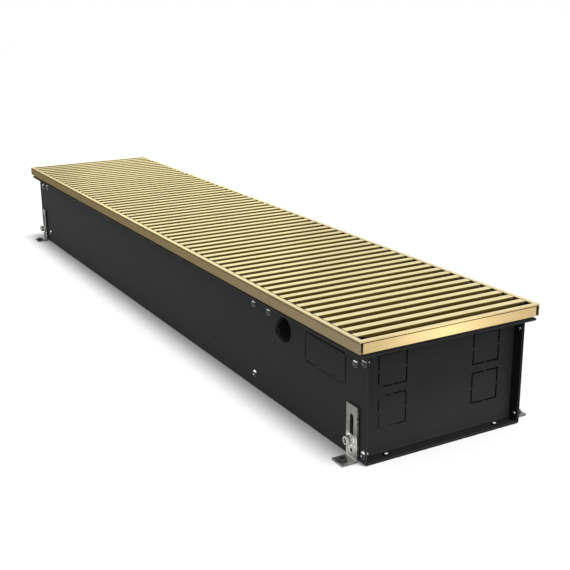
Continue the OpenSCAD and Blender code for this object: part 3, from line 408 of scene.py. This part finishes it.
def plastic(name, colour, roughness):
    """Moulded plastic with a shallow grain, coarser than the rubber's."""
    shader = Shader(name)
    cloud = shader.noise(scale=30, detail=4)
    shader.surface(
        Base_Color=shader.tint(cloud, colour, spread=0.03),
        Roughness=shader.scaled(cloud, roughness - 0.05, roughness + 0.05),
    )
    shader.relief(shader.noise(scale=1400, detail=2), depth=0.01 * MM, edge=0.4 * MM)
    return shader.material


ALONG_X = (1, 0, 0)
ALONG_Y = (0, 1, 0)

materials = {
    "black_paint": black_paint(),
    "gold_rail_long": gold(
        "gold_rail_long", ALONG_X, RAIL_TOP, LONG_FACE_SHADE, long_rail_share, roughness=0.42, grooved=True
    ),
    "gold_rail_short": gold(
        "gold_rail_short", ALONG_Y, RAIL_TOP, END_FACE_SHADE, top_share, roughness=0.34, grooved=True
    ),
    "gold_bar": gold("gold_bar", ALONG_Y, BAR_TOP, BAR_SIDE_SHADE, flat_share, roughness=0.34),
    "black_rubber": rubber("black_rubber", (0.005, 0.005, 0.005), roughness=0.6),
    "bush_rubber": rubber("bush_rubber", (0.07, 0.07, 0.07), roughness=0.5),
    "sleeve_rubber": rubber("sleeve_rubber", (0.045, 0.034, 0.016), roughness=0.6),
    "zinc_sheet": zinc("zinc_sheet", (0.52, 0.53, 0.54), roughness=0.42, spangle_scale=90),
    # The other brackets' darker base is painted shade, and the near bracket's lighter base and bend are
    # painted light
    "bracket_zinc": zinc("bracket_zinc", (0.18, 0.18, 0.168), roughness=0.34, spangle_scale=260),
    "bracket_near_lit": zinc(
        "bracket_near_lit", (0.27, 0.27, 0.25), roughness=0.34, spangle_scale=260, bend=BEND_REFLECTION
    ),
    "washer_steel": metal("washer_steel", (0.95, 0.95, 0.93), roughness=0.40),
    "fin_aluminium": metal("fin_aluminium", (0.74, 0.75, 0.76), roughness=0.38, edge=0.1 * MM),
    "copper": metal("copper", (0.72, 0.38, 0.24), roughness=0.30, stretch=(DRAWN, 1, 1), spread=0.15),
    "brass": metal("brass", (0.74, 0.56, 0.27), roughness=0.28, spread=0.1),
    "rivet_metal": rivet_steel(),
    "bright_steel": metal("bright_steel", (0.46, 0.46, 0.45), roughness=0.26, edge=0.15 * MM),
    "spring_steel": metal("spring_steel", (0.42, 0.42, 0.43), roughness=0.35, stretch=(COILED, 1, 1)),
    "black_steel": metal("black_steel", (0.035, 0.035, 0.037), roughness=0.4),
    "motor_grey": plastic("motor_grey", (0.10, 0.105, 0.11), roughness=0.45),
    "white_plastic": plastic("white_plastic", (0.76, 0.76, 0.73), roughness=0.42),
}

# Nodes whose material isn't the one named as their slot
own_material = {
    "frame_front": "gold_rail_long",
    "frame_back": "gold_rail_long",
    "frame_near": "gold_rail_short",
    "frame_far": "gold_rail_short",
    "grille_spacers": "sleeve_rubber",
    "rest_strips": "sleeve_rubber",
    "spring_screws": "black_steel",
    "clamp_washers": "washer_steel",
    "bracket_front_near": "bracket_near_lit",
    # The terminal lid's dark grey is painted shade, in place of its white plastic, so the inside reads dark
    # through the knockout slits
    "terminal_lid": "motor_grey",
}


def dress_nodes():
    """Gives each CAD node the material named above, or else the one of its slot."""
    for part in frame["record"]["subparts"]:
        node = frame["nodes"][part["node"]]
        chosen = materials[own_material.get(part["node"], part["material_slot"])]
        for place in node.material_slots:
            place.material = chosen


# Pieces made here

SHARP_ANGLE = 40
LATHE_SIDES = 32
# Decimals of a metre to which points count as one, and to which solids are put in order
SAME_POINT_DECIMALS = 6
ORDER_DECIMALS = 5
SHEET = 1.2 * MM
# From the middle to the outer faces of the side walls, a sheet outside the bulkhead
CASING_HALF_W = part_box("bulkhead_near")[1][1] + SHEET


def ring(mesh, place, height, radii):
    """Points round Z at one height, one for each radius, moved by a matrix."""
    points = []
    for i, radius in enumerate(radii):
        angle = 2 * pi * i / len(radii)
        points.append(mesh.verts.new(place @ Vector((radius * cos(angle), radius * sin(angle), height))))
    return points


def skin(mesh, rings):
    """Faces between each ring and the next, where a ring may be a single point."""
    for low, high in zip(rings, rings[1:]):
        sides = max(len(low), len(high))
        for i in range(sides):
            j = (i + 1) % sides
            if len(low) == 1:
                mesh.faces.new((low[0], high[j], high[i]))
            elif len(high) == 1:
                mesh.faces.new((low[i], low[j], high[0]))
            else:
                mesh.faces.new((low[i], low[j], high[j], high[i]))


def lathe(mesh, profile, place, sides=LATHE_SIDES):
    """Turns a profile of (radius, height) pairs about Z, then moves it by a matrix."""
    rings = []
    for radius, height in profile:
        points = sides if radius else 1
        rings.append(ring(mesh, place, height, [radius] * points))
    skin(mesh, rings)


def make_piece(name, mesh, material, body, *replaced):
    """Makes a smooth object of a mesh, which rides on a body and stands for CAD nodes."""
    bmesh.ops.recalc_face_normals(mesh, faces=mesh.faces)
    data = bpy.data.meshes.new(name)
    mesh.to_mesh(data)
    mesh.free()
    data.materials.append(materials[material])
    for face in data.polygons:
        face.use_smooth = True
    data.set_sharp_from_angle(angle=radians(SHARP_ANGLE))
    piece = bpy.data.objects.new(name, data)
    scene.collection.objects.link(piece)
    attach(piece, body)
    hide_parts(*replaced)


def islands(node):
    """The lowest and highest corner of each separate solid of a CAD node."""
    data = frame["nodes"][node].data
    parent = list(range(len(data.vertices)))

    def root(i):
        while parent[i] != i:
            parent[i] = parent[parent[i]]
            i = parent[i]
        return i

    same = {}
    for vertex in data.vertices:
        key = tuple(round(c, SAME_POINT_DECIMALS) for c in vertex.co)
        parent[vertex.index] = same.setdefault(key, vertex.index)
    for edge in data.edges:
        a, b = (root(i) for i in edge.vertices)
        parent[a] = b
    groups = {}
    for vertex in data.vertices:
        groups.setdefault(root(vertex.index), []).append(vertex.co)
    boxes = []
    for points in groups.values():
        low = Vector([min(p[k] for p in points) for k in range(3)])
        high = Vector([max(p[k] for p in points) for k in range(3)])
        boxes.append((low, high))
    return sorted(boxes, key=lambda box: tuple(round(c, ORDER_DECIMALS) for c in box[0]))


def side_of(middle):
    """1 behind the casing's middle plane and -1 in front of it."""
    return 1 if middle.y > 0 else -1


def outward(side):
    """A turn that takes +Z to +Y or -Y."""
    return Matrix.Rotation(-side * pi / 2, 4, "X")


# Rivets

RIVET_HEAD_R = 4.5 * MM
RIVET_HEAD_H = 1.8 * MM
RIVET_HEAD_STEPS = 8
# The power of the dome's curve: 2 is a parabola, and more is flatter on top
RIVET_DOME = 2.2
RIVET_SHANK_R = 2.4 * MM
RIVET_PIN_R = 1.25 * MM
RIVET_RIM_R = RIVET_PIN_R * 1.25
RIVET_TAIL_R = 2.8 * MM
RIVET_TAIL_L = 3.0 * MM
RIVET_GRIP = 2 * SHEET
# Shares of the tail's radius and length, from its end to the sheets
PRESSED_TAIL = ((0, 1), (0.6, 1), (0.92, 0.8), (1, 0.5), (0.95, 0))
# Shares of the pin's radius and the head's height, from the rim of the hole to the middle
SUNK_PIN = ((1, 0.72), (0.9, 0.50), (0.55, 0.66), (0, 0.70))
# Shares of the tail's radius with heights over the sheets
FLOOR_TAIL_LOW = ((0.96, 0), (1, 1.0 * MM))
# Shares of the tail's radius with depths under the stub's top
FLOOR_TAIL_HIGH = ((0.86, 0.9 * MM), (0.62, 0.35 * MM))
STUB_L = 0.25 * MM
STUB_TAPER = 0.95


def make_rivets():
    """Blind rivets with a domed head, the end of the pin in its middle, and a pressed tail."""
    profile = [(RIVET_TAIL_R * out, -RIVET_GRIP - RIVET_TAIL_L * down) for out, down in PRESSED_TAIL]
    profile += [(RIVET_SHANK_R, -RIVET_GRIP), (RIVET_SHANK_R, 0), (RIVET_HEAD_R, 0)]
    width = RIVET_HEAD_R - RIVET_RIM_R
    for i in range(1, RIVET_HEAD_STEPS + 1):
        radius = RIVET_HEAD_R - width * i / RIVET_HEAD_STEPS
        share = (radius - RIVET_RIM_R) / width
        profile.append((radius, RIVET_HEAD_H * (1 - share ** RIVET_DOME)))
    profile += [(RIVET_PIN_R * radius, RIVET_HEAD_H * height) for radius, height in SUNK_PIN]
    mesh = bmesh.new()
    for low, high in islands("wall_rivets"):
        middle = (low + high) / 2
        side = side_of(middle)
        place = Matrix.Translation((middle.x, side * CASING_HALF_W, middle.z)) @ outward(side)
        lathe(mesh, profile, place)
    make_piece("rivet_heads", mesh, "rivet_metal", "casing", "wall_rivets")


def make_floor_rivets():
    """Rivet tails on the lower flanges of the end plates, with the pin's stub on top."""
    mesh = bmesh.new()
    for low, high in islands("flange_rivets"):
        middle = (low + high) / 2
        top = high.z - low.z
        profile = [(0, 0), (RIVET_SHANK_R, 0), (RIVET_SHANK_R, RIVET_GRIP)]
        profile += [(RIVET_TAIL_R * radius, RIVET_GRIP + height) for radius, height in FLOOR_TAIL_LOW]
        profile += [(RIVET_TAIL_R * radius, top - depth) for radius, depth in FLOOR_TAIL_HIGH]
        profile += [(RIVET_PIN_R, top - STUB_L), (RIVET_PIN_R * STUB_TAPER, top), (0, top)]
        lathe(mesh, profile, Matrix.Translation((middle.x, middle.y, low.z)))
    make_piece("rivet_tails", mesh, "rivet_metal", "casing", "flange_rivets")


# Cable grommet

GROMMET_SIDES = 48
GROMMET_RIBS = 5
FIRST_RIB_H = 2.5 * MM
WALL_GROOVE = 2 * MM
# Depth of the hollow's end under the tip
HOLLOW_END = 2.2 * MM
# Shares of the grommet's radius
HOLLOW_R = 0.30
CORE_R = 0.30
# Shares of a rib's height
RIB_STRAIGHT_H = 0.45
RIB_ROUND_H = 0.5
# Share of the step from one rib to the next
RIB_ROUND_R = 0.42
RIB_ROUND_POINTS = 5
# Shares of a step inwards with depths under the rib's top, at the foot of the next rib
RIB_FOOT = ((0.80, 0.1 * MM), (0.95, 0.7 * MM))
# Shares of the grommet's radius with depths under the tip
TIP_DIMPLE = ((0.16, 0), (0.10, 0.8 * MM), (0, 1.0 * MM))


def quarter_arc(radius, height, steps, centre):
    """Points of (radius, height) on a quarter of an ellipse round a centre."""
    points = []
    for i in range(steps + 1):
        angle = pi / 2 * i / steps
        points.append((centre[0] + radius * cos(angle), centre[1] + height * sin(angle)))
    return points


def make_grommet():
    """Stepped rubber cone with rounded ribs round a closed tip."""
    low, high = (Vector(corner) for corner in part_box("cable_grommet"))
    middle = (low + high) / 2
    wall = -CASING_HALF_W
    base_r = (high.x - low.x) / 2
    out = wall - low.y
    back = high.y - wall
    collar_r = base_r - WALL_GROOVE / 2
    neck_r = base_r - WALL_GROOVE
    profile = [(0, out - HOLLOW_END), (base_r * HOLLOW_R, -back), (collar_r, -back)]
    profile += [(collar_r, -SHEET), (neck_r, -SHEET), (neck_r, 0), (base_r, 0)]
    step = (base_r - base_r * CORE_R) / GROMMET_RIBS
    rise = (out - FIRST_RIB_H) / (GROMMET_RIBS - 1)
    round_r = step * RIB_ROUND_R
    for i in range(GROMMET_RIBS):
        outer = base_r - i * step
        top = FIRST_RIB_H + i * rise
        rib_h = rise if i else FIRST_RIB_H
        round_h = rib_h * RIB_ROUND_H
        profile.append((outer, top - rib_h + rib_h * RIB_STRAIGHT_H))
        profile += quarter_arc(round_r, round_h, RIB_ROUND_POINTS, (outer - round_r, top - round_h))
        if i < GROMMET_RIBS - 1:
            profile += [(outer - step * share, top - depth) for share, depth in RIB_FOOT]
    profile += [(base_r * share, out - depth) for share, depth in TIP_DIMPLE]
    mesh = bmesh.new()
    place = Matrix.Translation((middle.x, wall, middle.z)) @ outward(-1)
    lathe(mesh, profile, place, GROMMET_SIDES)
    make_piece("grommet_cone", mesh, "black_rubber", "casing", "cable_grommet")


# Clamp screws

HEAD_R = 5 * MM
HEAD_H = 6 * MM
SOCKET_R = 2.9 * MM
# Share of the socket's radius, at its chamfered mouth
SOCKET_MOUTH = 1.08
SOCKET_CHAMFER = 0.25 * MM
SOCKET_DEPTH = 3 * MM
KNURLS = 36
KNURL_DEPTH = 0.28 * MM
# How deep each of the four points of a knurl lies
KNURL_WAVE = (0, 0.5, 1, 0.5)
# Heights from the head's top, with shares of its radius and of the knurls' depth
HEAD_LEVELS = (
    (-HEAD_H, 0.94, 0),
    (-HEAD_H + 0.35 * MM, 1, 1),
    (-0.9 * MM, 1, 1),
    (-0.55 * MM, 0.96, 0.3),
    (-0.25 * MM, 0.92, 0),
    (0, 0.84, 0),
)
THREAD_R = 3 * MM
THREAD_PITCH = 1 * MM
SCREW_TIP_L = 0.2 * MM
# Shares of the thread's radius
UNDER_HEAD_R = 0.9
THREAD_ROOT_R = 0.86
SCREW_TIP_R = 0.7
# Shares of the pitch, down one turn of the thread
CREST_AT = 0.25
ROOT_AT = 0.75


def make_clamp_screws():
    """Socket screws with a knurled, chamfered head and a thread on the shank."""
    mesh = bmesh.new()
    for low, high in islands("clamp_bolts"):
        middle = (low + high) / 2
        side = side_of(middle)
        tip = high.y if side > 0 else low.y
        length = high.y - low.y
        place = Matrix.Translation((middle.x, tip, middle.z)) @ outward(side)
        knurled_head(mesh, place)
        profile = [(THREAD_R * UNDER_HEAD_R, -HEAD_H)]
        for i in range(int((length - HEAD_H) / THREAD_PITCH)):
            top = -HEAD_H - i * THREAD_PITCH
            profile.append((THREAD_R, top - THREAD_PITCH * CREST_AT))
            profile.append((THREAD_R * THREAD_ROOT_R, top - THREAD_PITCH * ROOT_AT))
        profile += [(THREAD_R * SCREW_TIP_R, -length + SCREW_TIP_L), (0, -length)]
        lathe(mesh, profile, place)
    make_piece("clamp_screws", mesh, "bright_steel", "casing", "clamp_bolts")


def knurled_head(mesh, place):
    """A cap head that ends at zero, with grooves along its side and a hexagon socket."""
    sides = KNURLS * len(KNURL_WAVE)
    rings = []
    for height, share, depth in HEAD_LEVELS:
        cuts = [wave * depth * KNURL_DEPTH for wave in KNURL_WAVE] * KNURLS
        rings.append(ring(mesh, place, height, [HEAD_R * share - cut for cut in cuts]))
    hexagon = []
    for i in range(sides):
        angle = 2 * pi * i / sides
        hexagon.append(cos(pi / 6) / cos((angle % (pi / 3)) - pi / 6))
    socket = ((0, SOCKET_R * SOCKET_MOUTH), (-SOCKET_CHAMFER, SOCKET_R), (-SOCKET_DEPTH, SOCKET_R))
    for height, radius in socket:
        rings.append(ring(mesh, place, height, [radius * share for share in hexagon]))
    skin(mesh, rings)
    mesh.faces.new(rings[-1])
    mesh.faces.new(list(reversed(rings[0])))


# Stage and light

WHITE = (1, 1, 1)
FLOOR_SIZE = 12.0
FLOOR_DROP = 0.3 * MM
FLOOR_SEEN = (0.95, 0.95, 0.95)
FLOOR_BOUNCE = (0.22, 0.22, 0.22)
FLOOR_LIFT = 0.10
DOME = 0.40


def background_seen(nodes):
    """One where the camera, a reflection or a clear piece shows the background."""
    path = nodes.add("ShaderNodeLightPath")
    seen = path.outputs["Is Camera Ray"]
    for other in ("Is Glossy Ray", "Is Transmission Ray"):
        seen = nodes.math("MAXIMUM", seen, path.outputs[other])
    return seen


def make_floor():
    """A pale floor, brighter to the eye than in its bounced light, that still takes the shadow."""
    shader = Shader("floor")
    seen = background_seen(shader)
    colour = shader.blend(seen, FLOOR_BOUNCE, FLOOR_SEEN)
    shader.surface(Base_Color=colour, Roughness=1.0, Specular_IOR_Level=0.0)
    glow = shader.add("ShaderNodeEmission")
    shader.fill(glow, Color=WHITE, Strength=shader.math("MULTIPLY", seen, FLOOR_LIFT))
    both = shader.add("ShaderNodeAddShader")
    shader.feed(both.inputs[0], shader.main.outputs["BSDF"])
    shader.feed(both.inputs[1], glow.outputs["Emission"])
    shader.fill(shader.output, Surface=both.outputs["Shader"])
    half = FLOOR_SIZE / 2
    corners = [(x * half, y * half, -FLOOR_DROP) for x, y in ((-1, -1), (1, -1), (1, 1), (-1, 1))]
    data = bpy.data.meshes.new("floor")
    data.from_pydata(corners, [], [(0, 1, 2, 3)])
    data.materials.append(shader.material)
    floor = bpy.data.objects.new("floor", data)
    scene.collection.objects.link(floor)


def make_world():
    """White as a background, and a plain dome of light to matt surfaces."""
    world = bpy.data.worlds.new("studio")
    world.use_nodes = True
    scene.world = world
    nodes = Nodes(world.node_tree)
    strength = nodes.scaled(background_seen(nodes), DOME, 1.0, between=(0, 1))
    nodes.fill(world.node_tree.nodes["Background"], Color=WHITE, Strength=strength)


def make_panel(name, place, target, size, power):
    """A rectangular panel that shows in reflections only."""
    data = bpy.data.lights.new(name, "AREA")
    data.shape = "RECTANGLE"
    data.size, data.size_y = size
    data.energy = power
    lamp = bpy.data.objects.new(name, data)
    lamp.location = place
    lamp.rotation_euler = (Vector(target) - Vector(place)).to_track_quat("-Z", "Y").to_euler()
    lamp.visible_camera = False
    lamp.visible_diffuse = False
    scene.collection.objects.link(lamp)


def make_sun(towards, strength, softness):
    """A soft key light from far away, as a big overhead panel gives, its softness in degrees."""
    data = bpy.data.lights.new("key", "SUN")
    data.energy = strength
    data.angle = radians(softness)
    lamp = bpy.data.objects.new("key", data)
    lamp.rotation_euler = Vector(towards).to_track_quat("Z", "Y").to_euler()
    lamp.visible_glossy = False
    scene.collection.objects.link(lamp)


make_camera()
dress_nodes()
make_rivets()
make_floor_rivets()
make_grommet()
make_clamp_screws()
make_floor()
make_world()
make_sun(towards=(0.20, 0.06, 1.0), strength=2.2, softness=17)
make_panel("end_panel", place=(1.75, 0.88, 0.14), target=(0.55, 0, 0.12), size=(0.07, 0.24), power=2)
make_panel("back_panel", place=(-2.0, 0.85, 0.55), target=(0, 0, 0.13), size=(0.8, 0.5), power=2)
